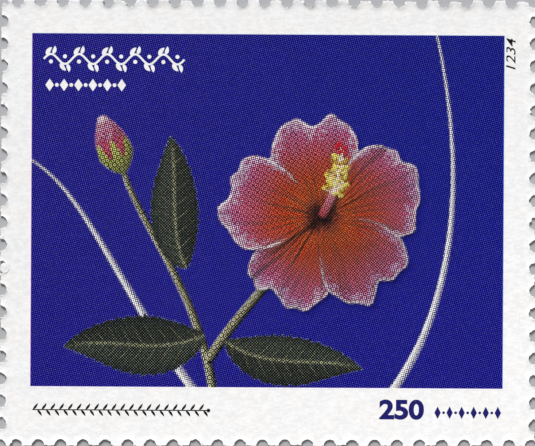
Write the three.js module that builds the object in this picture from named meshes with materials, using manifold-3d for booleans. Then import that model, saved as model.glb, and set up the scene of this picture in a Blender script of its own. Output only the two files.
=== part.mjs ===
// A postage stamp with line perforation: one sheet of stamp paper with the gum film on its back.
// Millimetres. +X runs along the stamp's long side, +Y up the picture, +Z out of the printed face.
// The origin is on the gummed back, in the middle of the stamp's outer box.

import * as THREE from 'three';
import { mergeVertices } from 'three/addons/utils/BufferGeometryUtils.js';
import Module from 'manifold-3d';

const wasm = await Module();
wasm.setup();

// Thickness of the two layers
const GUM_THICKNESS = 0.015;
const PAPER_THICKNESS = 0.1;

// The four lines of perforation, counter-clockwise: the centres of the first and the last hole,
// how many holes there are, and the share of them that keep a burr. The lines were punched one by
// one, so they are a little askew and their last holes don't meet in one common corner hole.
const TOP_LINE = { first: [22.45, 18.82], last: [-21.21, 18.73], holes: 24, burrs: 0.15 };
const LEFT_LINE = { first: [-22.54, 18.85], last: [-22.55, -18.98], holes: 21, burrs: 0.35 };
const BOTTOM_LINE = { first: [-21.21, -18.91], last: [22.45, -18.74], holes: 24, burrs: 0.15 };
const RIGHT_LINE = { first: [22.72, -18.95], last: [22.62, 19.07], holes: 21, burrs: 0.6 };
const LINES = [TOP_LINE, LEFT_LINE, BOTTOM_LINE, RIGHT_LINE];

// Punched holes: worn pins leave them slightly out of round, and a burr of paper can stand in
// from the rim
const HOLE_RADIUS = 0.515;
const HOLE_SIDES = 18;
const HOLE_ROUGHNESS = 0.022;
const BURR_LENGTH = [0.08, 0.2];

// Torn bridges between the holes: how far past the line of hole centres the torn paper ends
const TEAR_STEP = 0.2;
const TOOTH_REACH = [-0.02, 0.13];
const TEAR_ROUGHNESS = 0.035;

// One hole on the left line still holds its punched disc, pushed aside but not off
const CHAD_HOLE = 12;
const CHAD_RADIUS = 0.44;
const CHAD_OFFSET = [0.37, -0.09];

// Cut corners closer to each other than this are one point
const WELD = 0.004;

const random = seededRandom(1840);

function seededRandom(seed) {
  let state = seed;
  return () => {
    state = (state * 1664525 + 1013904223) % 4294967296;
    return state / 4294967296;
  };
}

function spread(amount) {
  return (random() * 2 - 1) * amount;
}

// Solids as manifolds, and back

function toManifold(geometry) {
  geometry.deleteAttribute('normal');
  geometry.deleteAttribute('uv');
  const merged = mergeVertices(geometry, 1e-5);
  return new wasm.Manifold(new wasm.Mesh({
    numProp: 3,
    vertProperties: new Float32Array(merged.attributes.position.array),
    triVerts: new Uint32Array(merged.index.array),
  }));
}

function toGeometry(manifold) {
  const mesh = manifold.getMesh();
  const geometry = new THREE.BufferGeometry();
  geometry.setAttribute('position', new THREE.BufferAttribute(mesh.vertProperties, 3));
  geometry.setIndex(new THREE.BufferAttribute(mesh.triVerts, 1));
  return geometry;
}

// A flat outline as a slab between two heights
function slab(points, low, high) {
  const geometry = new THREE.ExtrudeGeometry(new THREE.Shape(points), {
    depth: high - low,
    bevelEnabled: false,
  });
  geometry.translate(0, 0, low);
  return toManifold(geometry);
}

// Hole centres along one line, evenly spaced
function holeCentres(line) {
  const first = new THREE.Vector2(...line.first);
  const last = new THREE.Vector2(...line.last);
  return Array.from({ length: line.holes }, (_, k) => first.clone().lerp(last, k / (line.holes - 1)));
}

// The rim of a punched disc or hole. A burr, if it has one, pulls one point of the rim inwards.
function rim(centre, radius, burrChance) {
  const burrAt = random() < burrChance ? Math.floor(random() * HOLE_SIDES) : -1;
  const burr = THREE.MathUtils.lerp(...BURR_LENGTH, random());
  const points = [];
  for (let k = 0; k < HOLE_SIDES; k += 1) {
    const angle = (2 * Math.PI * (k + 0.5)) / HOLE_SIDES;
    const r = radius + spread(HOLE_ROUGHNESS) - (k === burrAt ? burr : 0);
    points.push(new THREE.Vector2(centre.x + r * Math.cos(angle), centre.y + r * Math.sin(angle)));
  }
  return points;
}

// Where two lines of perforation cross: the stamp's corner before the holes are cut
function crossing(lineA, lineB) {
  const a = new THREE.Vector2(...lineA.first);
  const alongA = new THREE.Vector2(...lineA.last).sub(a);
  const b = new THREE.Vector2(...lineB.first);
  const alongB = new THREE.Vector2(...lineB.last).sub(b);
  const t = b.clone().sub(a).cross(alongB) / alongA.cross(alongB);
  return a.addScaledVector(alongA, t);
}

// The torn edge from one corner to the next. Each tooth ends at its own distance past the line,
// and its tip is rough.
function tornEdge(start, end, holes) {
  const along = end.clone().sub(start);
  const outward = new THREE.Vector2(along.y, -along.x).normalize();
  const reaches = Array.from({ length: holes + 1 }, () => THREE.MathUtils.lerp(...TOOTH_REACH, random()));
  const steps = Math.round(along.length() / TEAR_STEP);
  const points = [];
  for (let k = 0; k < steps; k += 1) {
    const share = k / steps;
    const reach = k === 0 ? 0 : reaches[Math.floor(share * holes)] + spread(TEAR_ROUGHNESS);
    points.push(start.clone().addScaledVector(along, share).addScaledVector(outward, reach));
  }
  return points;
}

// The sheet's outline, counter-clockwise from the top right corner, as a slab of unit height
function tornSheet() {
  const points = LINES.flatMap((line, k) => {
    const before = LINES[(k + LINES.length - 1) % LINES.length];
    const after = LINES[(k + 1) % LINES.length];
    return tornEdge(crossing(before, line), crossing(line, after), line.holes);
  });
  return slab(points, 0, 1);
}

// Everything that the punch took away, each as a slab that runs past both faces
function punchedHoles() {
  return LINES.flatMap((line) => holeCentres(line).map((centre, k) => {
    const hole = slab(rim(centre, HOLE_RADIUS, line.burrs), -1, 2);
    if (line !== LEFT_LINE || k !== CHAD_HOLE) {
      return hole;
    }
    const chadCentre = centre.clone().add(new THREE.Vector2(...CHAD_OFFSET));
    return hole.subtract(slab(rim(chadCentre, CHAD_RADIUS, 0), -2, 3));
  }));
}

// The stamp's outline as a unit slab, moved so that its outer box is centred on the origin
function stampOutline() {
  const body = punchedHoles().reduce((sheet, hole) => sheet.subtract(hole), tornSheet());
  const geometry = mergeVertices(toGeometry(body), WELD);
  geometry.computeBoundingBox();
  const middle = geometry.boundingBox.getCenter(new THREE.Vector3());
  geometry.translate(-middle.x, -middle.y, 0);
  return geometry;
}

function layer(name, outline, low, thickness, material) {
  const geometry = outline.clone();
  geometry.scale(1, 1, thickness);
  geometry.computeVertexNormals();
  const mesh = new THREE.Mesh(geometry, material);
  mesh.name = name;
  mesh.position.z = low;
  return mesh;
}

const gumMaterial = new THREE.MeshStandardMaterial({ color: 0xefe9d8, roughness: 0.3, metalness: 0 });
const paperMaterial = new THREE.MeshStandardMaterial({ color: 0xf2f0ef, roughness: 0.75, metalness: 0 });

const outline = stampOutline();
const stamp = new THREE.Group();
stamp.add(layer('gum', outline, 0, GUM_THICKNESS, gumMaterial));
stamp.add(layer('paper', outline, GUM_THICKNESS, PAPER_THICKNESS, paperMaterial));

export default stamp;
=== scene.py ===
# The looks of a perforated postage stamp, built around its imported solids.
# Blender works in metres. The sizes below are in millimetres, and MM turns one into the other.
# +X runs along the stamp's long side, +Y up the picture, +Z out of the printed face.
import math

import bmesh
import bpy
import numpy as np
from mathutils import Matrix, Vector, geometry


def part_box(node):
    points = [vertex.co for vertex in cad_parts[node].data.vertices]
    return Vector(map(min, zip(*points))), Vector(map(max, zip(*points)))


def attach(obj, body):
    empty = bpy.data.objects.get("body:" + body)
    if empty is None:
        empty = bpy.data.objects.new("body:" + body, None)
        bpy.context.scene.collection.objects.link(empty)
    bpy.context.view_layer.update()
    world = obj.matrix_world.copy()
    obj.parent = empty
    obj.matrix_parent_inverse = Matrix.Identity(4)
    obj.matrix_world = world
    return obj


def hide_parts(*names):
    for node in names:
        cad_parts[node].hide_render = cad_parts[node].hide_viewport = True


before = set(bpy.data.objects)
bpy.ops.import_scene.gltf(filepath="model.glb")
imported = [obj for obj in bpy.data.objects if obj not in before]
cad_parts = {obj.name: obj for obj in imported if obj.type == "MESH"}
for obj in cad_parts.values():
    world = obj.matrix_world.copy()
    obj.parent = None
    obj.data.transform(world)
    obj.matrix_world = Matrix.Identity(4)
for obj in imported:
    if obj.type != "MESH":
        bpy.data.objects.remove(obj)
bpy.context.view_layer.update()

MM = 0.001

# The photo: a flat scan at 300 dots to the inch, with the stamp a third of a degree clockwise
PHOTO_WIDTH_PX = 535
PX_PER_MM = 11.811
PHOTO_TURN = math.radians(0.33)
PHOTO_MIDDLE = (-0.0897, 0.0557)     # the place on the stamp that is in the middle of the photo
SENSOR_WIDTH = 36
LENS = 200
CLIP_START = 0.001

# Studio light and floor, in metres and watts
KEY_LIGHT = {"place": (-0.26, 1.13, 0.9), "size": 0.55, "watts": 26.5}
SKY_STRENGTH = 0.33
FLOOR_REACH = 1.5

# The stamp's box and layers, from the frame
HALF_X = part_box("paper")[1].x / MM
HALF_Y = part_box("paper")[1].y / MM
PAPER_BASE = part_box("paper")[0].z / MM
PAPER_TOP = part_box("paper")[1].z / MM

# The four lines of punched holes: first and last centre, and how many
PUNCH_LINES = [
    ((22.36, 18.88), (-21.30, 18.79), 24),
    ((-22.63, 18.91), (-22.64, -18.92), 21),
    ((-21.30, -18.85), (22.36, -18.68), 24),
    ((22.63, -18.89), (22.53, 19.13), 21),
]
HOLE_RADIUS = 0.515
HOLE_PITCH = 1.898

# Relief of the sheet
WAVE_HEIGHT = 0.02
WAVE_LENGTH = 9
TOOTH_LIFT = 0.09
TOOTH_DEPTH = 0.9
RIM_HEIGHT = 0.08
RIM_WIDTH = 0.08
FRAY_HEIGHT = 0.03

# How far the edge wanders where it was punched, how much more on the right, and where it tore
RAG_PUNCHED = 0.055
RAG_WORN_PINS = 0.035
RAG_TORN = 0.07

# The sheet's mesh, fine along the edge and coarse in the field
EDGE_STEP = 0.045
SHARP_ANGLE = math.radians(40)
EDGE_RINGS = [0.035, 0.08, 0.14, 0.22]
BAND_WIDTH = 1.3
BAND_STEP = 0.17
FIELD_STEP = 0.55

# The punched disc that still hangs in one hole of the left line
CHAD_MIDDLE = (-22.32, -3.92)
CHAD_RADIUS = 0.38
CHAD_SQUEEZE = 0.9
CHAD_THICKNESS = 0.1
CHAD_SINK = 0.07
CHAD_TILT = 0.04
CHAD_DISH = 0.02

# The printed panel
PANEL_MIDDLE = (-0.10, 1.07)
PANEL_SIZE = (39.98, 29.89)
PANEL_BLUR = 0.012
INK_THICKNESS = 0.006
INK_DEPTH = 0.03
FILM_SPARE = 0.16
FILM_STEP = 0.1175
# The film's baked texture: the printed face, and strips for its underside and edge
FACE_PATCH = ((0.004, 0.04), (0.996, 0.996))
UNDER_PATCH = ((0.004, 0.004), (0.996, 0.014))
EDGE_PATCH = ((0.004, 0.022), (0.996, 0.032))

# Marks in solid ink on the margin, and in white on the panel
MARK_TOP = 0.005
MARK_DEPTH = 0.01
WHITE_TOP = 0.012
VINE_LEFT = -19.1
VINE_LENGTH = 11.9
VINE_WAVES = 5
VINE_SWING = 0.42
VINE_MIDDLE = 13.85
LOZENGES = 6
WHITE_ROW = {"left": -18.6, "step": 1.22, "row": 11.65, "half": (0.36, 0.52), "dot": 0.16}
NAVY_ROW = {"left": 14.4, "step": 1.02, "row": -15.92, "half": (0.27, 0.53), "dot": 0.12}
LAUREL_LEFT = -19.9
LAUREL_LENGTH = 14.8
LAUREL_STEP = 0.74
LAUREL_ROW = -15.85
VALUE = {"digits": "250", "middle": (11.35, -15.68), "size": 2.2, "weight": 0.085, "stretch": 1.14}
SERIAL = {
    "digits": "1234", "middle": (20.43, 14.5), "size": 1.15, "weight": 0.004,
    "slant": 0.25, "stretch": 1.24, "turn": math.pi / 2,
}

# Halftone printing: 150 lines to the inch, each ink with its screen angle, its error of register
# and the share of light that its solid lets back
SCREEN_PITCH = 25.4 / 150
DOT_SOFTNESS = 0.5
INKS = {
    "cyan": {"angle": 75, "shift": (0.018, 0.015), "solid": (0.008, 0.35, 0.72)},
    "magenta": {"angle": 15, "shift": (-0.020, 0.0), "solid": (0.66, 0.014, 0.32)},
    "yellow": {"angle": 0, "shift": (0.0, -0.01), "solid": (0.98, 0.82, 0.03)},
    "black": {"angle": 45, "shift": (0.0, 0.0), "solid": (0.01, 0.01, 0.01)},
}
BLACK_SHARE = 0.95
CUBE_SHARE = 0.29
SEPARATION_ROUNDS = 14
# How the dots look at reading distance
DOT_CONTRAST = 4.2
SWING_LIMIT = 0.13
DOT_UNEVENNESS = 0.2
COLOUR_GAIN = 1.5
COLOUR_DROP = 0.3
TINT_SHARE = 0.2
DISPLAY_GAMMA = 2.2


def linear(red, green, blue):
    """An sRGB colour, each channel 0 to 255, as linear light."""
    c = np.array((red, green, blue), float) / 255
    return np.where(c <= 0.04045, c / 12.92, ((c + 0.055) / 1.055) ** 2.4)


PAPER_WHITE = linear(253, 252, 252)
NAVY = linear(24, 20, 104)
BLACK = linear(16, 14, 16)
FLOOR_GREY = linear(172, 173, 176)
# Painted shade on the paper, standing in for light that falls unevenly across the sheet: it gets a
# touch whiter along this direction, between these distances in metres, and is greyest at this share of
# its white
PAINTED_SHADE_ALONG = (0.35, -0.8)
PAINTED_SHADE_BETWEEN = (-0.014, 0.022)
PAINTED_SHADE_GREYEST = 0.888


# Numbers that vary smoothly from place to place


def soft(low, high, value):
    """0 below low, 1 above high, and a smooth step between them."""
    t = np.clip((value - low) / (high - low), 0, 1)
    return t * t * (3 - 2 * t)


def bump(value, middle, width):
    return np.exp(-(((value - middle) / width) ** 2))


def lattice(i, j, seed):
    """A repeatable random number between 0 and 1 for each whole-numbered lattice point."""
    h = (i.astype(np.int64) * 374761393 + j.astype(np.int64) * 668265263 + seed * 144269) & 0xFFFFFFFF
    h = ((h ^ (h >> 13)) * 1274126177) & 0xFFFFFFFF
    return ((h ^ (h >> 16)) & 0xFFFF) / 65535


def noise(x, y, seed):
    """Smooth noise between 0 and 1 with one lump per unit of length."""
    i, j = np.floor(x), np.floor(y)
    u, v = soft(0, 1, x - i), soft(0, 1, y - j)
    low = lattice(i, j, seed) * (1 - u) + lattice(i + 1, j, seed) * u
    high = lattice(i, j + 1, seed) * (1 - u) + lattice(i + 1, j + 1, seed) * u
    return low * (1 - v) + high * v


def fractal(x, y, seed, octaves=3):
    total = sum(noise(x * 2**k, y * 2**k, seed + k) / 2**k for k in range(octaves))
    return total / sum(1 / 2**k for k in range(octaves))


# The sheet's relief


def hole_centres():
    centres = []
    for first, last, count in PUNCH_LINES:
        share = np.linspace(0, 1, count)[:, None]
        centres.append(np.array(first) * (1 - share) + np.array(last) * share)
    return np.concatenate(centres)


HOLES = hole_centres()


def hole_distance(x, y):
    """How far each place is from the edge of the nearest punched hole."""
    nearest = np.full(x.shape, 1e3)
    for cx, cy in HOLES:
        nearest = np.minimum(nearest, np.hypot(x - cx, y - cy))
    return nearest - HOLE_RADIUS


def edge_distance(x, y):
    return np.minimum(HALF_X - np.abs(x), HALF_Y - np.abs(y))


def lift(x, y):
    """How far the sheet stands off the floor: a slight wave, teeth that curl up, rims that the punch
    pulled up round the holes, and fibres that stand up where the paper tore."""
    x, y = np.asarray(x, float), np.asarray(y, float)
    wave = WAVE_HEIGHT * fractal(x / WAVE_LENGTH, y / WAVE_LENGTH, 3, 2)
    curl = noise(x / HOLE_PITCH, y / HOLE_PITCH, 8) ** 2
    tooth = TOOTH_LIFT * curl * soft(TOOTH_DEPTH, 0, edge_distance(x, y))
    strength = 0.5 + noise(x * 1.7, y * 1.7, 15)
    rim = RIM_HEIGHT * strength * np.exp(-np.maximum(hole_distance(x, y), 0) / RIM_WIDTH)
    fray = FRAY_HEIGHT * torn_share(x, y) * fractal(x * 6, y * 6, 27)
    return wave + tooth + rim + fray


# Meshes


def linked(name, data):
    """A new object in the scene."""
    obj = bpy.data.objects.new(name, data)
    bpy.context.scene.collection.objects.link(obj)
    return obj


def meshed(name, points, faces, material, smooth=True):
    """A piece from points in millimetres and faces."""
    mesh = bpy.data.meshes.new(name)
    mesh.from_pydata((np.array(points) * MM).tolist(), [], faces)
    mesh.polygons.foreach_set("use_smooth", [smooth] * len(mesh.polygons))
    return finished(name, mesh, material)


def finished(name, mesh, material):
    mesh.materials.append(material)
    mesh.update()
    mesh.set_sharp_from_angle(angle=SHARP_ANGLE)
    obj = linked(name, mesh)
    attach(obj, "root")
    return obj


def upwards(x, y, triangles):
    """The triangles, each counter-clockwise seen from above."""
    a, b, c = triangles.T
    area = (x[b] - x[a]) * (y[c] - y[a]) - (x[c] - x[a]) * (y[b] - y[a])
    return np.where((area < 0)[:, None], triangles[:, ::-1], triangles)


def open_edges(triangles):
    """The edges that only one triangle has, each running with that triangle on its left."""
    edges = np.concatenate([triangles[:, [0, 1]], triangles[:, [1, 2]], triangles[:, [2, 0]]]).tolist()
    known = {tuple(e) for e in edges}
    return np.array([e for e in edges if (e[1], e[0]) not in known])


def closed_sheet(name, plan, low, high, material, smooth=True):
    """A piece that fills a plan, of x, y and triangles, between two heights at each place."""
    x, y, triangles = plan
    count = len(x)
    points = np.concatenate([np.stack([x, y, z], axis=1) for z in (low, high)])
    sides = [(a, b, b + count, a + count) for a, b in open_edges(triangles).tolist()]
    faces = [*(triangles + count).tolist(), *triangles[:, ::-1].tolist(), *sides]
    return meshed(name, points, faces, material, smooth)


def outline_loop(node):
    """The outline of a node's upper face, counter-clockwise, in millimetres."""
    bm = bmesh.new()
    bm.from_mesh(node.data)
    bmesh.ops.remove_doubles(bm, verts=bm.verts, dist=1e-7)
    bm.verts.index_update()
    places = np.array([v.co for v in bm.verts]) / MM
    faces = [[v.index for v in face.verts] for face in bm.faces]
    bm.free()
    top = places[:, 2].max() - 1e-3
    upper = np.array([face for face in faces if places[face, 2].min() > top])
    following = dict(open_edges(upper).tolist())
    loops = []
    while following:
        walk = list(following.popitem())
        while walk[-1] in following:
            walk.append(following.pop(walk[-1]))
        loops.append(walk[:-1])
    return places[max(loops, key=len), :2]


def resampled(loop, step):
    """The closed loop with points evenly spaced along it."""
    closed = np.vstack([loop, loop[:1]])
    lengths = np.hypot(*np.diff(closed, axis=0).T)
    along = np.concatenate([[0], np.cumsum(lengths)])
    places = np.linspace(0, along[-1], int(along[-1] / step), endpoint=False)
    return np.stack([np.interp(places, along, closed[:, k]) for k in range(2)], axis=1)


def rounded(loop, passes):
    """The loop with its corners eased, as paper fibres ease them."""
    for _ in range(passes):
        loop = (np.roll(loop, 1, axis=0) + 2 * loop + np.roll(loop, -1, axis=0)) / 4
    return loop


def outward(loop):
    along = np.roll(loop, -1, axis=0) - np.roll(loop, 1, axis=0)
    along /= np.hypot(*along.T)[:, None]
    return np.stack([along[:, 1], -along[:, 0]], axis=1)


def torn_share(x, y):
    """1 where the edge was torn, 0 where the punch cut it."""
    return soft(-0.06, 0.03, hole_distance(x, y)) * soft(0.45, 0.25, edge_distance(x, y))


def ragged_loop(node):
    """The stamp's outline as the punch and the tear left it, and its outward directions."""
    loop = rounded(resampled(outline_loop(node), EDGE_STEP), 3)
    x, y = loop.T
    torn = torn_share(x, y)
    wild = fractal(x * 7, y * 7, 21) * 2 - 1
    cut = RAG_PUNCHED + RAG_WORN_PINS * (x > HALF_X - 1)
    reach = cut * wild * (1 - torn) + RAG_TORN * wild * torn
    loop = loop + outward(loop) * reach[:, None]
    return loop, outward(rounded(loop, 4))


def hexagonal_grid(step):
    rows = np.arange(-HALF_Y - 1, HALF_Y + 1, step * math.sqrt(3) / 2)
    columns = np.arange(-HALF_X - 1, HALF_X + 1, step)
    x, y = np.meshgrid(columns, rows)
    x = x + (np.arange(len(rows)) % 2)[:, None] * step / 2
    return np.stack([x.ravel(), y.ravel()], axis=1)


def spaced(candidates, taken):
    """Of points with their gaps, those that keep their gap to every point kept before them."""
    cell = max(gap for _, gap in candidates)
    table = {}

    def near(p):
        i, j = int(p[0] // cell), int(p[1] // cell)
        return (q for a in (i - 1, i, i + 1) for b in (j - 1, j, j + 1) for q in table.get((a, b), ()))

    def keep(p):
        table.setdefault((int(p[0] // cell), int(p[1] // cell)), []).append(p)

    for p in taken:
        keep(p)
    kept = []
    for p, gap in candidates:
        if all((p[0] - q[0]) ** 2 + (p[1] - q[1]) ** 2 > gap * gap for q in near(p)):
            keep(p)
            kept.append(p)
    return kept


class Plan:
    """The stamp's outline cut into triangles, fine along the edge and coarse in the field."""

    def __init__(self, node):
        loop, normals = ragged_loop(node)
        least = EDGE_STEP * 0.7
        rings = [(p, max(depth * 0.8, least)) for depth in EDGE_RINGS for p in loop - normals * depth]
        near = [p for p in hexagonal_grid(BAND_STEP) if edge_distance(*p) < BAND_WIDTH]
        inner = spaced(rings + [(p, BAND_STEP * 0.7) for p in near], loop)
        start = BAND_WIDTH + FIELD_STEP / 3
        field = [p for p in hexagonal_grid(FIELD_STEP) if edge_distance(*p) > start]
        corners = [Vector(p) for p in [*loop, *inner, *field]]
        ring = [(k, (k + 1) % len(loop)) for k in range(len(loop))]
        found = geometry.delaunay_2d_cdt(corners, ring, [], 1, 1e-6)
        places = np.array([tuple(v) for v in found[0]])
        triangles = np.array(found[2])
        used, triangles = np.unique(triangles, return_inverse=True)
        self.x, self.y = places[used].T
        self.triangles = upwards(self.x, self.y, triangles.reshape(-1, 3))
        self.on_rim = np.zeros(len(self.x), bool)
        self.on_rim[open_edges(self.triangles).ravel()] = True

    def slab(self, name, low, high, material, thinning=0):
        """A sheet between two heights. Thinning is the share of its thickness lost at torn edges."""
        base = lift(self.x, self.y)
        torn = torn_share(self.x, self.y)
        loss = thinning * (0.12 + 0.88 * torn * (0.5 + 0.7 * noise(self.x * 9, self.y * 9, 33)))
        upper = base + high - np.where(self.on_rim, loss * (high - low), 0)
        plan = (self.x, self.y, self.triangles)
        return closed_sheet(name, plan, base + low, upper, material)


# Materials


class Shader:
    """A material's node tree, with short ways to add nodes and join them."""

    def __init__(self, name):
        self.material = bpy.data.materials.new(name)
        self.material.use_nodes = True
        self.tree = self.material.node_tree
        self.tree.nodes.clear()
        self.surface = self.node("BsdfPrincipled")
        self.node("OutputMaterial", self.surface.outputs["BSDF"])
        self.place = self.node("TexCoord").outputs["Object"]
        self.x, self.y, _ = self.node("SeparateXYZ", self.place).outputs

    def node(self, kind, *inputs, **settings):
        """A new node, with sockets or plain values for its first inputs."""
        made = self.tree.nodes.new("ShaderNode" + kind)
        for key, value in settings.items():
            setattr(made, key, value)
        for source, target in zip(inputs, made.inputs):
            self.join(source, target)
        return made

    def join(self, source, target):
        """Puts a socket or a plain value into an input."""
        if isinstance(source, bpy.types.NodeSocket):
            self.tree.links.new(source, target)
        else:
            target.default_value = source

    def fill(self, node, **values):
        """Sets a node's inputs by name, with _ for each space."""
        for key, value in values.items():
            self.join(value, node.inputs[key.replace("_", " ")])
        return node

    def math(self, operation, *values):
        return self.node("Math", *values, operation=operation).outputs[0]

    def times(self, a, b):
        return self.math("MULTIPLY", a, b)

    def step(self, low, high, value, start=0.0, end=1.0):
        """A smooth step from start to end as the value goes from low to high."""
        made = self.node("MapRange", value, low, high, start, end, interpolation_type="SMOOTHSTEP")
        return made.outputs["Result"]

    def mix(self, factor, a, b, mode="MIX"):
        """Two colours mixed. Each is a socket or three numbers of linear light."""
        made = self.node("Mix", factor, data_type="RGBA", blend_type=mode)
        for source, target in zip((a, b), made.inputs[6:8]):
            self.join(source if isinstance(source, bpy.types.NodeSocket) else (*source, 1), target)
        return made.outputs[2]

    def scaled(self, per_mm, turn=0.0):
        """Object coordinates with so many units to the millimetre along X, Y and Z."""
        made = self.node("Mapping", self.place)
        return self.fill(made, Rotation=(0, 0, turn), Scale=[k / MM for k in per_mm]).outputs[0]

    def noise(self, per_mm, detail=3.0, roughness=0.5, turn=0.0):
        """Noise between 0 and 1 with so many lumps to the millimetre."""
        made = self.node("TexNoise", self.scaled(per_mm, turn))
        return self.fill(made, Scale=1, Detail=detail, Roughness=roughness).outputs["Fac"]

    def along(self, a, b):
        """Object coordinates X and Y, times a and b, added up."""
        return self.math("MULTIPLY_ADD", self.x, a, self.times(self.y, b))

    def gamma(self, colour, power):
        return self.node("Gamma", colour, power).outputs[0]

    def brightness(self, colour, power):
        """A colour's brightness as the eye sees it, a power of its light."""
        return self.math("POWER", self.node("RGBToBW", colour).outputs[0], power)

    def per_channel(self, operation, a, b):
        return self.node("VectorMath", a, b, operation=operation).outputs[0]

    def bump(self, height, distance, **before):
        """Bends the surface by a height between 0 and 1, where 1 is so many millimetres."""
        made = self.node("Bump")
        return self.fill(made, Height=height, Distance=distance * MM, **before).outputs["Normal"]

    def finish(self, colour, roughness, specular, **relief):
        self.fill(self.surface, Base_Color=colour, Roughness=roughness, **relief)
        self.surface.inputs["Specular IOR Level"].default_value = specular
        return self.material


def paper_colour(shader):
    """White paper, finely mottled, with painted shade that makes it a touch greyer towards the upper
    left, where less light falls.
    """
    # painted shade: the paper turns greyer towards the upper left, standing in for light that falls
    # unevenly
    corner = shader.step(*PAINTED_SHADE_BETWEEN, shader.along(*PAINTED_SHADE_ALONG))
    mottle = shader.step(0.37, 0.63, shader.noise((1.9, 3.3, 3.3), 5, 0.8))
    cloud = shader.step(0.35, 0.65, shader.noise((0.35, 0.4, 0.4), 3))
    white = shader.mix(corner, PAPER_WHITE * PAINTED_SHADE_GREYEST, PAPER_WHITE)
    shade = shader.mix(mottle, (0.88, 0.88, 0.88), (1.0, 1.0, 1.0))
    tint = shader.mix(cloud, (0.98, 0.99, 1.0), (1.0, 0.99, 0.98))
    return shader.mix(1.0, shader.mix(1.0, white, shade, "MULTIPLY"), tint, "MULTIPLY")


def paper_relief(shader):
    """Fine fibres that lie two ways."""
    fibres_along = shader.noise((3, 22, 22), 2, 0.6, math.radians(8))
    fibres_across = shader.noise((24, 4, 24), 2, 0.6, math.radians(-20))
    first = shader.bump(fibres_along, 0.004)
    return shader.bump(fibres_across, 0.003, Normal=first)


def paper_material():
    shader = Shader("stamp_paper")
    rough = shader.step(0.2, 0.8, shader.noise((5, 5, 5)), 0.68, 0.82)
    return shader.finish(paper_colour(shader), rough, 0.2, Normal=paper_relief(shader))


def fibre_material():
    shader = Shader("torn_fibres")
    pale = shader.mix(shader.noise((8, 8, 8)), PAPER_WHITE * 0.86, PAPER_WHITE)
    return shader.finish(pale, 0.85, 0.15)


def ink_material(name, colour):
    """Solid ink: a touch uneven where the paper's fibres drink it in."""
    shader = Shader(name)
    thin = shader.step(0.45, 0.8, shader.noise((9, 9, 9), 3, 0.6))
    tone = shader.mix(thin, colour, colour * 0.7 + 0.035)
    return shader.finish(tone, 0.5, 0.12, Normal=paper_relief(shader))


def screen_dots(shader, angle, amount):
    """One ink's coverage at a place, from the amount of ink there and its turned screen of dots."""
    c, s = math.cos(math.radians(angle)), math.sin(math.radians(angle))
    turn = 2 * math.pi / (SCREEN_PITCH * MM)
    directions = ((c * turn, s * turn), (-s * turn, c * turn))
    waves = [shader.math("COSINE", shader.along(*direction)) for direction in directions]
    wave = shader.times(shader.math("ADD", *waves), 0.5)
    # the wave's level above which the chosen share of the area lies, as in dot_cover
    balance = shader.math("MULTIPLY_ADD", amount, -2.0, 1.0)
    cube = shader.times(shader.times(balance, balance), balance)
    level = shader.math("MULTIPLY_ADD", balance, 1 - CUBE_SHARE, shader.times(cube, CUBE_SHARE))
    spread = shader.times(level, 1 + DOT_SOFTNESS)
    low = shader.math("SUBTRACT", spread, DOT_SOFTNESS)
    high = shader.math("ADD", spread, DOT_SOFTNESS)
    return shader.step(low, high, wave)


def inside_panel(shader, shift=(0, 0)):
    """1 on the panel as one ink prints it, 0 outside, with a crisp edge."""
    sides = []
    for value, middle, size, error in zip((shader.x, shader.y), PANEL_MIDDLE, PANEL_SIZE, shift):
        away = shader.math("ABSOLUTE", shader.math("SUBTRACT", value, (middle + error) * MM))
        outer, inner = (size / 2 + PANEL_BLUR) * MM, (size / 2 - PANEL_BLUR) * MM
        sides.append(shader.step(outer, inner, away))
    return shader.times(*sides)


def scanned(shader, dots, wanted, paper):
    """The wanted colour, made lighter and darker by the dots, which are too fine for their inks to
    be told apart. They would wash the colour out, so it is made deeper first."""
    power = 1 / DISPLAY_GAMMA
    lights = [shader.brightness(colour, power) for colour in (dots, wanted)]
    swing = shader.math("MINIMUM", shader.math("SUBTRACT", *lights), SWING_LIMIT)
    uneven = shader.step(0.3, 0.7, shader.noise((7, 7, 7), 1), 1 - DOT_UNEVENNESS, 1 + DOT_UNEVENNESS)
    swing = shader.times(shader.times(swing, DOT_CONTRAST), uneven)
    deeper = shader.per_channel("MULTIPLY", shader.gamma(wanted, power), (COLOUR_GAIN,) * 3)
    deeper = shader.per_channel("SUBTRACT", deeper, (COLOUR_DROP,) * 3)
    seen = shader.per_channel("MAXIMUM", shader.per_channel("ADD", deeper, swing), (0, 0, 0))
    return shader.per_channel("MINIMUM", shader.gamma(seen, DISPLAY_GAMMA), paper)


def print_material():
    """The picture in four halftone inks over the paper's own colour."""
    shader = Shader("halftone_print")
    plates, tone = (shader.node("VertexColor", layer_name=name) for name in ("plates", "tone"))
    colours = shader.node("SeparateColor", plates.outputs["Color"])
    amounts = [*colours.outputs, plates.outputs["Alpha"]]
    paper = paper_colour(shader)
    dots = paper
    for ink, amount in zip(INKS.values(), amounts):
        cover = screen_dots(shader, ink["angle"], amount)
        cover = shader.times(cover, inside_panel(shader, ink["shift"]))
        dots = shader.mix(cover, dots, shader.mix(1.0, dots, ink["solid"], "MULTIPLY"))
    wanted = shader.mix(1.0, paper, tone.outputs["Color"], "MULTIPLY")
    share = shader.times(inside_panel(shader), 1 - TINT_SHARE)
    colour = shader.mix(share, dots, scanned(shader, dots, wanted, paper))
    return shader.finish(colour, 0.55, 0.1, Normal=paper_relief(shader))


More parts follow.
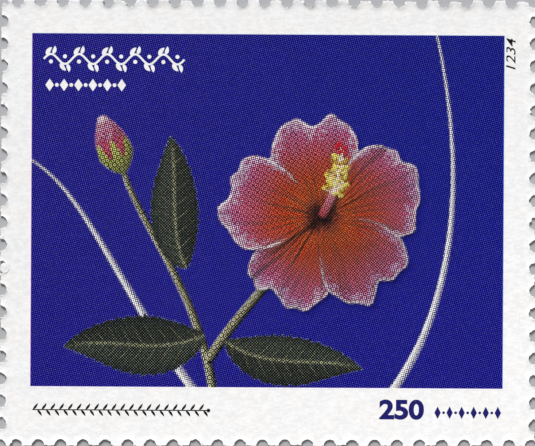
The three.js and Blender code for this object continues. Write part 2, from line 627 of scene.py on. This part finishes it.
def gum_material():
    """Dried gum: cream, softly glossy, finely crazed, with the dark panel showing through."""
    shader = Shader("dried_gum")
    cream, shadow = linear(243, 238, 222), linear(226, 223, 222)
    cloud = shader.step(0.3, 0.7, shader.noise((0.25, 0.4, 0.4), 4, 0.6))
    tone = shader.mix(cloud, cream * 0.95, cream)
    tone = shader.mix(shader.times(inside_panel(shader), 0.8), tone, shadow)
    cells = shader.node("TexVoronoi", shader.scaled((0.55, 0.75, 0.75)), feature="DISTANCE_TO_EDGE")
    shader.fill(cells, Scale=1)
    crazing = shader.step(0.0, 0.03, cells.outputs["Distance"])
    ripples = shader.bump(shader.noise((0.7, 2.5, 2.5), 3), 0.02)
    relief = shader.bump(crazing, 0.006, Normal=ripples)
    rough = shader.step(0.3, 0.7, shader.noise((1.5, 1.5, 1.5)), 0.22, 0.4)
    return shader.finish(tone, rough, 0.5, Normal=relief)


def floor_material():
    return Shader("plain_floor").finish((*FLOOR_GREY, 1), 0.9, 0.1)


# The picture's painting, in linear light, at places in millimetres from the panel's middle

LIGHT = np.array((-0.5, 0.55, 0.67))
LIGHT /= np.linalg.norm(LIGHT)
EDGE = 0.07
SHADE_STEP = 0.05


def ramp(value, stops):
    """Linear light along a list of (place, sRGB colour) stops."""
    places = [place for place, _ in stops]
    colours = np.array([linear(*colour) for _, colour in stops])
    return np.stack([np.interp(value, places, channel) for channel in colours.T], axis=-1)


def over(picture, colour, mask):
    """Lays colour on the picture where mask is 1."""
    return picture + (colour - picture) * mask[..., None]


def turned(x, y, angle):
    c, s = math.cos(angle), math.sin(angle)
    return x * c + y * s, y * c - x * s


def shade(height, x, y, depth):
    """Light on a surface whose height is a function of place: 1 where it faces straight up."""
    h = height(x, y)
    dx = (height(x + SHADE_STEP, y) - h) / SHADE_STEP * depth
    dy = (height(x, y + SHADE_STEP) - h) / SHADE_STEP * depth
    light = (LIGHT[2] - dx * LIGHT[0] - dy * LIGHT[1]) / np.sqrt(1 + dx * dx + dy * dy)
    return np.clip(light / LIGHT[2], 0.1, 1.6)


def ground(x, y):
    """Navy blue, a little redder on the left and darker at the foot."""
    left, right, foot = linear(41, 36, 166), linear(26, 34, 167), linear(38, 33, 161)
    base = left + (right - left) * soft(-20, 20, x)[..., None]
    base = base + (foot - base) * 0.7 * soft(6, -15, y)[..., None]
    return base * (0.95 + 0.1 * fractal(x * 0.35, y * 0.35, 5))[..., None]


def along_curve(x, y, points, steps=60):
    """The nearest point's share along a Bezier curve, and how far off it is, positive on the left."""
    t = np.linspace(0, 1, steps)[:, None]
    n = len(points) - 1
    curve = sum(math.comb(n, k) * (1 - t) ** (n - k) * t**k * np.array(p) for k, p in enumerate(points))
    best, share, side = np.full(x.shape, 1e9), np.zeros(x.shape), np.zeros(x.shape)
    for k, (a, b) in enumerate(zip(curve, curve[1:])):
        ab = b - a
        f = np.clip(((x - a[0]) * ab[0] + (y - a[1]) * ab[1]) / (ab @ ab), 0, 1)
        dx, dy = x - a[0] - f * ab[0], y - a[1] - f * ab[1]
        d = dx * dx + dy * dy
        near = d < best
        best = np.where(near, d, best)
        share = np.where(near, (k + f) / (steps - 1), share)
        side = np.where(near, np.sign(ab[0] * dy - ab[1] * dx), side)
    return share, np.sqrt(best) * side


STEM_TONES = (linear(8, 8, 12), linear(146, 144, 108))
GRASS_TONES = (linear(120, 118, 150), linear(244, 244, 248))
LEAF_DARK = linear(20, 25, 30)
LEAF_MIDDLE = linear(46, 55, 46)
LEAF_PALE = linear(116, 118, 86)
RIM_PALE = linear(246, 236, 244)
LILAC = linear(206, 160, 204)
VEIN_DARK = linear(84, 14, 30)
THROAT_DARK = linear(58, 8, 10)
PETAL_STOPS = [
    (0.00, (70, 14, 8)),
    (0.12, (134, 40, 12)),
    (0.26, (182, 76, 14)),
    (0.40, (166, 58, 16)),
    (0.54, (158, 62, 46)),
    (0.70, (160, 70, 84)),
    (0.86, (166, 80, 112)),
    (1.00, (174, 104, 150)),
]


def stem(picture, x, y, points, widths, tones):
    t, d = along_curve(x, y, points)
    half = (widths[0] + (widths[1] - widths[0]) * t) / 2
    light = soft(-0.9, 0.9, np.clip(d / half, -1, 1)) * (0.75 + 0.5 * fractal(t * 40, d * 2, 11))
    colour = tones[0] + (tones[1] - tones[0]) * light[..., None]
    return over(picture, colour, soft(-EDGE, EDGE, half - np.abs(d)))


def leaf(picture, x, y, points, width, teeth, seed):
    """A toothed leaf along a curve, with a pale midrib and quilting between its side veins."""
    t, d = along_curve(x, y, points)
    length = sum(math.dist(a, b) for a, b in zip(points, points[1:]))
    half = width / 2 * np.sin(np.pi * t**0.8) ** 0.85
    half = half * (0.93 + 0.1 * ((t * teeth + 0.15 * np.abs(d)) % 1))
    mask = soft(-EDGE, EDGE, half - np.abs(d)) * soft(0, 0.02, t) * soft(1.0, 0.985, t)
    across = np.abs(d) / np.maximum(half, 0.05)
    phase = (t * length - 0.75 * np.abs(d)) / 1.25 % 1
    quilt = 0.5 - 0.5 * np.cos(2 * np.pi * (phase - 0.5))
    side = np.where(d > 0, 1.12, 0.72)
    light = side * (0.62 + 0.45 * quilt) * (0.8 + 0.4 * fractal(x * 1.3, y * 1.3, seed))
    colour = over(LEAF_MIDDLE * light[..., None], LEAF_DARK, 0.55 * soft(0.6, 1.0, across))
    colour = over(colour, LEAF_PALE * 0.8, 0.55 * bump(phase, 0.5, 0.07) * soft(1.0, 0.3, across))
    colour = over(colour, LEAF_PALE, 0.85 * bump(d, 0, 0.11) * soft(1.0, 0.75, t))
    return over(picture, colour, mask)


class Petal:
    """One ruffled petal of a round blossom, in polar form about the blossom's middle."""

    def __init__(self, angle, length, spread, seed):
        self.angle, self.length, self.spread, self.seed = math.radians(angle), length, spread, seed

    def edge(self, phi):
        """How far the petal reaches in the direction phi off its axis."""
        s = np.clip(np.abs(phi) / self.spread, 0, 1)
        body = np.maximum(1 - s**3.4, 0) ** 0.42
        wobble = noise(phi * 9, phi * 0, self.seed) - 0.5
        ruffle = 0.03 * np.sin(11 * phi + self.seed * 1.7) + 0.075 * wobble
        notch = 1 - 0.045 * bump(phi, 0.03 * (self.seed % 3 - 1), 0.09)
        return self.length * body * (1 + ruffle) * notch

    def place(self, x, y):
        """Shares along and across the petal, and the distance inside its edge."""
        r = np.hypot(x, y)
        phi = (np.arctan2(y, x) - self.angle + np.pi) % (2 * np.pi) - np.pi
        edge = self.edge(phi)
        slope = (self.edge(phi + 0.02) - edge) / 0.02
        depth = (edge - r) / np.sqrt(1 + (slope / np.maximum(r, 0.4)) ** 2)
        return r / self.length, phi / self.spread, depth

    def height(self, x, y):
        t, s, _ = self.place(x, y)
        cup = -2.2 * t**2 + s**2 * t
        groove = -0.3 * bump(s, 0, 0.08) * soft(1, 0.3, t)
        ruffle = 0.34 * t**3 * np.sin(10 * s + 2.4 * noise(s * 4, t * 3, self.seed) + self.seed)
        veins = 0.05 * np.cos(2 * np.pi * 6.5 * (s + 0.03 * np.sin(9 * t)))
        lumps = 0.25 * fractal(x * 0.7, y * 0.7, self.seed + 3) * t
        return cup + groove + ruffle + veins + lumps

    def colour(self, x, y, t, s, depth):
        """Orange throat, maroon and mauve towards the rim, dark veins, pale speckles and rim."""
        seed = self.seed
        colour = ramp(t + 0.14 * (fractal(x * 0.9, y * 0.9, seed) - 0.5), PETAL_STOPS)
        fan = (s + 0.03 * np.sin(9 * t) + 0.05 * (noise(s * 5, t * 4, seed + 9) - 0.5)) * 6.5
        vein = bump(fan % 1, 0.5, 0.13) * soft(1.02, 0.35, t) * soft(0.05, 0.2, t)
        colour = over(colour, VEIN_DARK, 0.5 * vein)
        streak = soft(0.5, 0.72, noise(s * 22, t * 2.2, seed + 17)) * soft(0.62, 0.28, t)
        colour = over(colour, THROAT_DARK, 0.6 * streak * soft(0.04, 0.12, t))
        gather = 0.5 + 0.9 * soft(1.7, 0.1, depth)
        speckle = soft(0.55, 0.72, noise(x * 5.5, y * 5.5, seed + 31) * gather)
        colour = over(colour, LILAC, 0.65 * speckle * soft(0.4, 0.8, t) * soft(1.9, 0.4, depth))
        uneven = 0.4 + 0.6 * soft(0.3, 0.6, noise(x * 3, y * 3, seed + 5))
        return over(colour, RIM_PALE, 0.75 * soft(0.25, 0.06, depth) * uneven * soft(0.3, 0.65, t))

    def paint(self, picture, x, y):
        t, s, depth = self.place(x, y)
        _, _, cast = self.place(x - 0.28, y + 0.34)
        picture = picture * (1 - 0.6 * soft(-0.5, 0.45, cast) * soft(1.6, 1.0, t))[..., None]
        light = 0.14 + 0.74 * shade(self.height, x, y, 0.65)
        colour = self.colour(x, y, t, s, depth) * light[..., None]
        return over(picture, np.clip(colour, 0, 1), soft(-EDGE, EDGE, depth))


def spot(picture, x, y, centre, radius, colour):
    """A small lit ball."""
    near = np.hypot(x - centre[0], y - centre[1]) < 1.5 * radius + EDGE
    dx, dy = (x[near] - centre[0]) / radius, (y[near] - centre[1]) / radius
    lit = np.clip(0.62 + 0.55 * (-0.55 * dx + 0.6 * dy), 0.3, 1.25)
    mask = soft(-EDGE / radius, EDGE / radius, 1 - np.hypot(dx, dy))
    picture[near] = over(picture[near], np.clip(colour * lit[..., None], 0, 1), mask)


def thread(picture, x, y, a, b, colour, width):
    """A thin straight line between two places."""
    middle, reach = np.add(a, b) / 2, math.dist(a, b) / 2 + width
    near = np.hypot(x - middle[0], y - middle[1]) < reach
    _, off = along_curve(x[near], y[near], [a, b], 2)
    picture[near] = over(picture[near], colour, 0.9 * soft(width, width * 0.3, np.abs(off)))


COLUMN_ANGLE = math.radians(58)
COLUMN_LENGTH = 5.2
COLUMN_HALF_WIDTH = 0.33
COLUMN_BEND = 0.05
COLUMN_STOPS = [(0, (150, 40, 44)), (0.35, (214, 120, 140)), (1, (250, 214, 190))]
STAMENS = 58
STIGMAS = 5
GOLD = linear(252, 214, 66)
AMBER = linear(206, 140, 30)
STIGMA_RED = linear(196, 30, 52)
FILAMENT = linear(240, 196, 186)


def on_column(along, across):
    """A place beside the column's axis, from the blossom's middle."""
    x, y = turned(along, across + COLUMN_BEND * along * along, -COLUMN_ANGLE)
    return float(x), float(y)


def stalked(picture, x, y, root, tip, radius, colour):
    """A small ball on a thread that leaves the column's axis."""
    end = on_column(*tip)
    thread(picture, x, y, on_column(root, 0), end, FILAMENT, 0.09)
    spot(picture, x, y, end, radius, colour)


def column(picture, x, y):
    """The blossom's column with its stamens and stigmas."""

    def body(px, py, blur):
        u, v = turned(px, py, COLUMN_ANGLE)
        v = v - COLUMN_BEND * u * u
        ends = soft(-0.2, 0.1, u) * soft(COLUMN_LENGTH + blur, COLUMN_LENGTH - blur, u)
        return u, v, soft(-blur, blur, COLUMN_HALF_WIDTH - np.abs(v)) * ends

    _, _, shadow = body(x - 0.3, y + 0.42, 0.25)
    picture = picture * (1 - 0.55 * shadow)[..., None]
    u, v, mask = body(x, y, EDGE)
    lit = 0.7 + 0.3 * np.clip(v / COLUMN_HALF_WIDTH, -1, 1)
    colour = ramp(u / COLUMN_LENGTH, COLUMN_STOPS) * lit[..., None]
    picture = over(picture, np.clip(colour, 0, 1), mask)
    for k in range(STAMENS):
        share = (k + 0.5) / STAMENS
        along = COLUMN_LENGTH * (0.42 + 0.56 * share)
        turn = k * math.pi * (3 - math.sqrt(5))
        reach = (0.75 + 0.35 * math.sin(k * 1.7)) * (1.15 - 0.55 * share)
        tip = (along + 0.2 * math.cos(turn), reach * math.sin(turn))
        stalked(picture, x, y, along - 0.15, tip, 0.21, GOLD if k % 3 else AMBER)
    for k in range(STIGMAS):
        turn = k * 2 * math.pi / STIGMAS + 0.4
        tip = (COLUMN_LENGTH + 0.45 + 0.28 * math.cos(turn), 0.42 * math.sin(turn))
        stalked(picture, x, y, COLUMN_LENGTH - 0.1, tip, 0.24, STIGMA_RED)
    return picture


BUD_STOPS = [(0, (110, 34, 30)), (0.5, (146, 52, 74)), (0.85, (180, 104, 134)), (1, (236, 206, 222))]
CALYX_STOPS = [(0, (70, 76, 40)), (0.5, (146, 150, 62))]


def bud(picture, x, y, foot, angle, length, width):
    """A closed bud: furled petals with a twisted seam, held by a green calyx."""
    u, v = turned(x - foot[0], y - foot[1], angle)
    t = u / length
    half = width / 2 * np.sin(np.pi * np.clip(t * 0.92 + 0.04, 0, 1)) ** 0.8 * (1.12 - 0.35 * t)
    across = v / np.maximum(half, 0.05)
    rounding = np.sqrt(np.clip(1 - (across - 0.35) ** 2 * 0.7, 0, 1))
    twist = (across * 0.55 + t * 1.5) % 0.5
    colour = ramp(t, BUD_STOPS) * ((0.45 + 0.75 * rounding) * (0.8 + twist))[..., None]
    colour = over(colour, VEIN_DARK, 0.65 * bump(twist, 0.25, 0.035))
    colour = over(colour, LILAC, 0.5 * soft(0.6, 0.75, noise(x * 4, y * 4, 77)) * soft(0.3, 0.9, t))
    mask = soft(-EDGE, EDGE, half - np.abs(v)) * soft(-0.02, 0.02, t) * soft(1.0, 0.97, t)
    picture = over(picture, np.clip(colour, 0, 1), mask)
    lobes = 0.40 + 0.16 * np.cos(across * 7.5)
    mask = soft(-0.02, 0.02, lobes - t) * soft(-0.06, -0.02, t)
    mask = mask * soft(-EDGE, EDGE, half * 1.08 + 0.06 - np.abs(v))
    tone = ramp(t, CALYX_STOPS) * (0.5 + 0.7 * rounding)[..., None]
    tone = over(tone, LEAF_DARK, 0.5 * bump(np.abs(across * 1.2) % 0.84, 0.42, 0.05))
    return over(picture, np.clip(tone, 0, 1), mask)


# The blossom, from the panel's middle
BLOSSOM = (4.6, -0.4)
PETALS = [
    Petal(98, 8.3, 0.80, 3),
    Petal(242, 8.0, 0.78, 7),
    Petal(22, 8.6, 0.80, 12),
    Petal(312, 8.2, 0.80, 21),
    Petal(170, 8.4, 0.80, 30),
]
# Curves from root to tip, with the widths at both ends, or with width, number of teeth and seed
STEMS = [
    ([(-6.0, -15.4), (-13.0, -6.0), (-15.5, 2.0), (-20.5, 4.5)], (0.75, 0.12), GRASS_TONES),
    ([(10.5, -15.4), (16.0, -8.0), (17.0, 3.0), (14.2, 15.4)], (0.7, 0.16), GRASS_TONES),
    ([(-4.5, -15.4), (-5.5, -7.0), (-11.0, -1.0), (-12.2, 3.4)], (0.8, 0.5), STEM_TONES),
    ([(-4.8, -12.5), (-2.0, -8.0), (1.5, -5.0), BLOSSOM], (0.9, 0.7), STEM_TONES),
]
LEAVES = [
    ([(-5.2, -10.5), (-9.5, -12.5), (-13.0, -10.5), (-17.3, -11.6)], 5.2, 15, 41),
    ([(-6.8, -5.0), (-8.6, -1.4), (-7.4, 3.0), (-8.3, 6.4)], 4.2, 13, 47),
    ([(-3.6, -11.0), (0.5, -13.8), (4.0, -12.0), (8.2, -13.4)], 4.4, 14, 53),
]


def paint(x, y):
    """The whole picture."""
    picture = ground(x, y)
    for points, widths, tones in STEMS:
        picture = stem(picture, x, y, points, widths, tones)
    for points, width, teeth, seed in LEAVES:
        picture = leaf(picture, x, y, points, width, teeth, seed)
    picture = bud(picture, x, y, (-12.2, 3.2), math.radians(112), 5.2, 3.0)
    bx, by = x - BLOSSOM[0], y - BLOSSOM[1]
    for petal in PETALS:
        picture = petal.paint(picture, bx, by)
    picture = picture * (1 - 0.75 * soft(1.9, 0.2, np.hypot(bx, by)))[..., None]
    return np.clip(column(picture, bx, by), 0, 1)


def dot_cover(amounts):
    """The share of the paper that a screen really covers for each amount of ink asked of it."""
    phase = np.linspace(0, 2 * np.pi, 48, endpoint=False)
    wave = (np.cos(phase)[:, None] + np.cos(phase)) / 2
    balance = 1 - 2 * amounts
    level = ((1 - CUBE_SHARE) * balance + CUBE_SHARE * balance**3) * (1 + DOT_SOFTNESS)
    return np.array([soft(k - DOT_SOFTNESS, k + DOT_SOFTNESS, wave).mean() for k in level])


def coloured_inks(wanted):
    """The shares of the paper that cyan, magenta and yellow cover to leave the wanted light."""
    solids = [INKS[name]["solid"] for name in ("cyan", "magenta", "yellow")]
    amounts = [np.zeros(wanted.shape[:-1]) for _ in solids]
    for _ in range(SEPARATION_ROUNDS):
        for own, solid in enumerate(solids):
            lets_by = [1 - share * (1 - other[own]) for share, other in zip(amounts, solids)]
            others = math.prod(lets_by[:own] + lets_by[own + 1:])
            amounts[own] = np.clip((1 - wanted[..., own] / others) / (1 - solid[own]), 0, 1)
    return amounts


def separations(colour):
    """The amounts of the four inks that print a colour. Black takes the place of some of the grey
    that the three colours would make together."""
    wanted = np.clip(colour, 0.003, 1)
    black = BLACK_SHARE * soft(0.2, 1.0, np.min(coloured_inks(wanted), axis=0))
    passed = 1 - black * (1 - INKS["black"]["solid"][0])
    amounts = coloured_inks(wanted / passed[..., None])
    asked = np.linspace(0, 1, 101)
    return np.interp(np.stack([*amounts, black], axis=-1), dot_cover(asked), asked)


def within(patch, place):
    """Places given as shares of a patch, from 0 to 1 both ways, on the texture."""
    low, high = np.array(patch)
    return low + np.asarray(place) * (high - low)


def bake_map(film, columns, rows, border):
    """Gives the printed face nearly all of the film's baked texture, so its dots stay crisp."""
    corner = np.empty(len(film.data.loops), int)
    film.data.loops.foreach_get("vertex_index", corner)
    spot_of = np.concatenate([np.arange(rows * columns), border])[corner]
    place = np.stack([spot_of % columns / (columns - 1), spot_of // columns / (rows - 1)], axis=1)
    face_end = 4 * (rows - 1) * (columns - 1)
    under_end = face_end + len(border)
    ring = np.arange(len(border))
    along = np.stack([ring, ring + 1, ring + 1, ring], axis=1).ravel() / len(border)
    up = np.tile([0, 0, 1, 1], len(border))
    places = np.concatenate([
        within(FACE_PATCH, place[:face_end]),
        within(UNDER_PATCH, place[face_end:under_end]),
        within(EDGE_PATCH, np.stack([along, up], axis=1)),
    ])
    layer = film.data.uv_layers.new(name="OFBake")
    layer.data.foreach_set("uv", places.astype(np.float32).ravel())


def picture_piece(material):
    """The printed film: a fine grid that carries the inks' amounts, on a flat underside."""
    width, height = (size + 2 * FILM_SPARE for size in PANEL_SIZE)
    columns, rows = round(width / FILM_STEP) + 1, round(height / FILM_STEP) + 1
    along_x = np.linspace(-width / 2, width / 2, columns)
    along_y = np.linspace(-height / 2, height / 2, rows)
    across, up = np.meshgrid(along_x, along_y)
    picture = paint(across, up)
    plates = separations(picture).reshape(-1, 4)
    tone = np.insert(picture.reshape(-1, 3), 3, 1, axis=1)
    x, y = (across + PANEL_MIDDLE[0]).ravel(), (up + PANEL_MIDDLE[1]).ravel()
    top = np.stack([x, y, lift(x, y) + PAPER_TOP + INK_THICKNESS], axis=1)
    index = np.arange(rows * columns).reshape(rows, columns)
    cells = np.stack([index[:-1, :-1], index[:-1, 1:], index[1:, 1:], index[1:, :-1]], axis=-1)
    border = [*index[0, :-1], *index[:-1, -1], *index[-1, :0:-1], *index[:0:-1, 0]]
    under = top[border]
    under[:, 2] = PAPER_TOP - INK_DEPTH
    count = len(top)
    low = list(range(count, count + len(border)))
    sides = [(low[k - 1], low[k], border[k], border[k - 1]) for k in range(len(border))]
    faces = [*cells.reshape(-1, 4).tolist(), low[::-1], *sides]
    film = meshed("picture", np.concatenate([top, under]), faces, material)
    for name, values in (("plates", plates), ("tone", tone)):
        layer = film.data.color_attributes.new(name, "FLOAT_COLOR", "POINT")
        values = np.concatenate([values, values[border]]).astype(np.float32)
        layer.data.foreach_set("color", values.ravel())
    bake_map(film, columns, rows, border)
    return film


# Line ornaments and numbers, printed in solid ink or left white


class Print:
    """Flat shapes in solid ink, or left white, whose outlines join into one slab."""

    def __init__(self):
        self.points = []
        self.outlines = []

    def outline(self, points):
        start = len(self.points)
        self.points.extend(map(Vector, np.asarray(points, float).tolist()))
        self.outlines.append(list(range(start, len(self.points))))

    def stroke(self, path, widths):
        """A line along a path, each place with its own width."""
        path = np.array(path, float)
        along = np.gradient(path, axis=0)
        along /= np.hypot(*along.T)[:, None]
        side = np.stack([-along[:, 1], along[:, 0]], axis=1) * np.maximum(widths, 0.01)[:, None] / 2
        self.outline(np.concatenate([path - side, (path + side)[::-1]]))

    def dot(self, x, y, radius):
        turn = np.linspace(0, 2 * np.pi, 20, endpoint=False)
        self.outline(np.stack([x + radius * np.cos(turn), y + radius * np.sin(turn)], axis=1))

    def lozenges(self, left, step, row, half, dot):
        """A row of lozenges with a dot between each two."""
        wide, tall = half
        for k in range(LOZENGES):
            x = left + k * step
            self.outline([(x - wide, row), (x, row - tall), (x + wide, row), (x, row + tall)])
            if k < LOZENGES - 1:
                self.dot(x + step / 2, row, dot)

    def sprig(self, foot, heading, length, width, bend):
        """A small leaf that leaves its foot in the given direction and bends to the left."""
        t = np.linspace(0, 1, 12)
        turn = math.radians(heading) + bend * t
        steps = np.stack([np.cos(turn), np.sin(turn)], axis=1) * length / (len(t) - 1)
        self.stroke(np.array(foot) + np.cumsum(steps, axis=0), width * np.sin(np.pi * t**0.8) ** 0.75)

    def piece(self, name, material, top):
        found = geometry.delaunay_2d_cdt(self.points, [], self.outlines, 0, 1e-6)
        x, y = np.array([tuple(v) for v in found[0]]).T
        inside = [face for face, origins in zip(found[2], found[5]) if origins]
        base = lift(x, y) + PAPER_TOP
        plan = (x, y, upwards(x, y, np.array(inside)))
        return closed_sheet(name, plan, base - MARK_DEPTH, base + top, material, smooth=False)


def vine(material):
    """A scrolling vine with leaves and berries, above a row of lozenges, in the paper's white."""
    prints = Print()
    wave = VINE_LENGTH / VINE_WAVES

    def on_stem(x):
        return x, VINE_MIDDLE + VINE_SWING * np.sin(2 * np.pi * (x - VINE_LEFT) / wave)

    x = np.linspace(VINE_LEFT, VINE_LEFT + VINE_LENGTH, 24 * VINE_WAVES)
    prints.stroke(np.stack(on_stem(x), axis=1), np.full(len(x), 0.17))
    for k in range(2 * VINE_WAVES):
        up = 1 if k % 2 == 0 else -1
        start = VINE_LEFT + wave * k / 2
        prints.sprig(on_stem(start + 0.10 * wave), up * 84, 0.82, 0.36, -0.9 * up)
        prints.sprig(on_stem(start + 0.30 * wave), up * 50, 0.70, 0.32, 0.8 * up)
        prints.dot(start + 0.25 * wave, VINE_MIDDLE - up * 0.22, 0.17)
    prints.lozenges(**WHITE_ROW)
    return prints.piece("white_ornament", material, WHITE_TOP)


def laurel_band(material):
    """A slim band of slanting leaves on a stem, in the lower left margin."""
    prints = Print()
    start, end = LAUREL_LEFT, LAUREL_LEFT + LAUREL_LENGTH
    prints.stroke([(start, LAUREL_ROW), (end, LAUREL_ROW)], np.full(2, 0.09))
    for x in np.arange(start, end - LAUREL_STEP / 2, LAUREL_STEP):
        prints.sprig((x, LAUREL_ROW), 38, 0.66, 0.2, 0.5)
        prints.sprig((x + LAUREL_STEP / 2, LAUREL_ROW), -38, 0.62, 0.2, -0.5)
    prints.dot(end + 0.1, LAUREL_ROW, 0.16)
    return prints.piece("laurel_band", material, MARK_TOP)


def lozenge_row(material):
    """A row of small lozenges and dots after the value."""
    prints = Print()
    prints.lozenges(**NAVY_ROW)
    return prints.piece("lozenge_row", material, MARK_TOP)


def number(name, material, digits, middle, size, weight=0.0, slant=0.0, stretch=1.0, turn=0.0):
    """Plain digits in solid ink, centred on a place."""
    text = bpy.data.curves.new(name, "FONT")
    text.body = digits
    text.size = size
    text.offset = weight
    text.shear = slant
    text.extrude = 1
    text.resolution_u = 8
    source = linked(name + "_text", text)
    shown = source.evaluated_get(bpy.context.evaluated_depsgraph_get())
    mesh = bpy.data.meshes.new_from_object(shown)
    bpy.data.objects.remove(source)
    bm = bmesh.new()
    bm.from_mesh(mesh)
    bmesh.ops.remove_doubles(bm, verts=bm.verts, dist=1e-5)
    places = np.array([v.co for v in bm.verts])
    flat = places[:, :2] - (places[:, :2].min(axis=0) + places[:, :2].max(axis=0)) / 2
    x, y = turned(flat[:, 0] * stretch, flat[:, 1], -turn)
    x, y = x + middle[0], y + middle[1]
    base = lift(x, y) + PAPER_TOP
    z = np.where(places[:, 2] > 0, base + MARK_TOP, base - MARK_DEPTH)
    for v, co in zip(bm.verts, np.stack([x, y, z], axis=1) * MM):
        v.co = co
    bm.to_mesh(mesh)
    bm.free()
    mesh.name = name
    mesh.materials.clear()
    return finished(name, mesh, material)


# Small pieces of paper


def fibre(points, faces, start, heading, length, width, rng):
    """One loose fibre: a thin three-sided strand that bends and thins as it goes."""
    steps = 5
    bend = rng.normal(0, 0.35, steps)
    rise = rng.normal(0, 0.25)
    place = np.array(start, float)
    first = len(points)
    for k in range(steps):
        side = np.array((-math.sin(heading), math.cos(heading), 0))
        r = width / 2 * (1 - 0.8 * k / (steps - 1))
        back = place - side * r * 0.5
        points += [place + side * r, back + (0, 0, r * 0.87), back - (0, 0, r * 0.87)]
        heading += bend[k]
        place = place + np.array((math.cos(heading), math.sin(heading), rise)) * length / steps
        place[2] = max(place[2], width)
    last = len(points) - 3
    faces += [(first, first + 1, first + 2), (last + 2, last + 1, last)]
    for k in range(first, last, 3):
        faces += [(k + a, k + 3 + a, k + 3 + b, k + b) for a, b in ((0, 1), (1, 2), (2, 0))]


def loose_fibres(node, material):
    """Fibres that stand out of the torn tips, and a few in the holes."""
    rng = np.random.default_rng(1840)
    loop, normals = ragged_loop(node)
    torn = torn_share(*loop.T)
    base = lift(*loop.T)
    points, faces = [], []
    for place, normal, share, low in zip(loop, normals, torn, base):
        if rng.random() > 0.32 * share + 0.03:
            continue
        height = low + PAPER_BASE + rng.uniform(0.2, 0.8) * (PAPER_TOP - PAPER_BASE)
        heading = math.atan2(normal[1], normal[0]) + rng.normal(0, 0.7)
        start = (*(place - normal * 0.03), height)
        length, width = rng.uniform(0.06, 0.22), rng.uniform(0.010, 0.022)
        fibre(points, faces, start, heading, length, width, rng)
    return meshed("torn_fibres", points, faces, material)


def chad(material):
    """The hanging disc: a little dished, and tilted where it rides up on the sheet."""
    rings, sides = 6, 40
    turn = np.linspace(0, 2 * math.pi, sides, endpoint=False)
    share = np.arange(1, rings + 1)[:, None] / rings
    rag = 1 + 0.03 * (noise(turn * 3, turn * 0 + share, 91) - 0.5) * share
    x = CHAD_SQUEEZE * CHAD_RADIUS * share * rag * np.cos(turn)
    y = CHAD_RADIUS * share * rag * np.sin(turn)
    low = PAPER_TOP - CHAD_SINK + CHAD_TILT * (1 - y / CHAD_RADIUS) / 2 + CHAD_DISH * share**3
    high = low + CHAD_THICKNESS * np.where(share < 1, 1, 0.85)
    here = np.arange(rings * sides).reshape(rings, sides)
    after = np.roll(here, -1, axis=1)
    lower = np.stack([here[:-1], here[1:], after[1:]], axis=-1).reshape(-1, 3)
    upper = np.stack([here[:-1], after[1:], after[:-1]], axis=-1).reshape(-1, 3)
    middle = [(0, k, k + 1) for k in range(1, sides - 1)]
    triangles = np.concatenate([lower, upper, middle])
    plan = ((x + CHAD_MIDDLE[0]).ravel(), (y + CHAD_MIDDLE[1]).ravel(), triangles)
    return closed_sheet("hanging_disc", plan, low.ravel(), high.ravel(), material)


# Camera, light and floor


def photo_camera():
    camera = linked("photo_camera", bpy.data.cameras.new("photo_camera"))
    camera.data.sensor_width = SENSOR_WIDTH
    camera.data.lens = LENS
    camera.data.clip_start = CLIP_START
    distance = PHOTO_WIDTH_PX / PX_PER_MM * LENS / SENSOR_WIDTH
    camera.location = (PHOTO_MIDDLE[0] * MM, PHOTO_MIDDLE[1] * MM, (PAPER_TOP + distance) * MM)
    camera.rotation_euler = (0, 0, PHOTO_TURN)
    bpy.context.scene.camera = camera


def softbox(place, size, watts):
    lamp = bpy.data.lights.new("key", "AREA")
    lamp.shape = "SQUARE"
    lamp.size = size
    lamp.energy = watts
    obj = linked("key", lamp)
    obj.location = place
    obj.rotation_euler = (-Vector(place)).to_track_quat("-Z", "Y").to_euler()


def studio():
    world = bpy.data.worlds.new("studio")
    world.use_nodes = True
    sky = world.node_tree.nodes["Background"]
    sky.inputs["Color"].default_value = (1, 1, 1, 1)
    sky.inputs["Strength"].default_value = SKY_STRENGTH
    bpy.context.scene.world = world
    bpy.context.scene.view_settings.view_transform = "Standard"
    softbox(**KEY_LIGHT)
    floor = bpy.data.meshes.new("floor")
    corners = [(x * FLOOR_REACH, y * FLOOR_REACH, 0) for x, y in ((-1, -1), (1, -1), (1, 1), (-1, 1))]
    floor.from_pydata(corners, [], [(0, 1, 2, 3)])
    floor.materials.append(floor_material())
    linked("floor", floor)


photo_camera()
studio()

paper = paper_material()
plan = Plan(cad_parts["paper"])
sheet = plan.slab("sheet", PAPER_BASE, PAPER_TOP, paper, thinning=0.7)
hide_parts("paper")
gum_film = plan.slab("gum_film", 0, PAPER_BASE, gum_material())
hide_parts("gum")
picture_piece(print_material())
loose_fibres(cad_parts["paper"], fibre_material())
chad(paper)
navy, black = ink_material("navy_ink", NAVY), ink_material("black_ink", BLACK)
vine(paper)
laurel_band(black)
lozenge_row(navy)
number("value_number", navy, **VALUE)
number("serial_number", black, **SERIAL)
